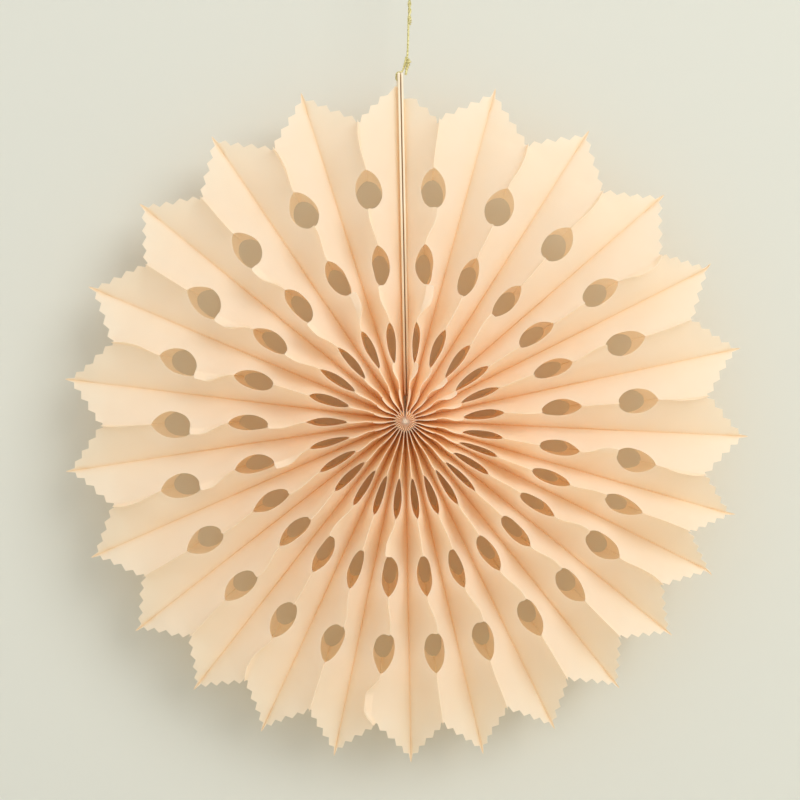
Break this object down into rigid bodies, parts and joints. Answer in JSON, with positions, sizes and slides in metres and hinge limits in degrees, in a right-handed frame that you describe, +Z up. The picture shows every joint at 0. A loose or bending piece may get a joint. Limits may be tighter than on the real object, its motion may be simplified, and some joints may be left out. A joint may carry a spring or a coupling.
{
  "type": "paper fan rosette",
  "caption": "Hanging paper fan rosette: die-cut leaves glued into an open honeycomb disc with pinked petals and round holes, two card spines and a gold thread loop.",
  "frame": {"origin": "the point inside the hanging loop that rests on a hook", "axes": "+Z up along the hanging thread, the disc stands in the XZ plane and its front faces -Y, +X to the right as the front is seen"},
  "size_m": [0.4482, 0.072, 0.562],
  "materials": {
    "paper": "matte translucent uncoated paper",
    "card": "matte cream card",
    "gold_thread": "twisted metallic thread"
  },
  "bodies": {
    "root": {"leaf_01": "paper", "leaf_02": "paper", "leaf_03": "paper", "leaf_04": "paper", "leaf_05": "paper", "leaf_06": "paper", "leaf_07": "paper", "leaf_08": "paper", "leaf_09": "paper", "leaf_10": "paper", "leaf_11": "paper", "leaf_12": "paper", "leaf_13": "paper", "leaf_14": "paper", "leaf_15": "paper", "leaf_16": "paper", "leaf_17": "paper", "leaf_18": "paper", "leaf_19": "paper", "leaf_20": "paper", "leaf_21": "paper", "leaf_22": "paper", "leaf_23": "paper", "leaf_24": "paper", "leaf_25": "paper", "leaf_26": "paper", "leaf_27": "paper", "leaf_28": "paper", "leaf_29": "paper", "leaf_30": "paper", "leaf_31": "paper", "leaf_32": "paper", "leaf_33": "paper", "leaf_34": "paper", "leaf_35": "paper", "leaf_36": "paper", "leaf_37": "paper", "leaf_38": "paper", "leaf_39": "paper", "leaf_40": "paper", "leaf_41": "paper", "leaf_42": "paper", "leaf_43": "paper", "leaf_44": "paper", "leaf_45": "paper", "leaf_46": "paper", "leaf_47": "paper", "leaf_48": "paper", "leaf_49": "paper", "leaf_50": "paper", "card_spine_left": "card", "card_spine_right": "card", "thread_tie": "gold_thread", "lower_knot": "gold_thread", "hanging_thread": "gold_thread", "thread_wrap": "gold_thread", "return_strand": "gold_thread", "top_knot": "gold_thread", "hanging_loop": "gold_thread"}
  },
  "joints": []
}
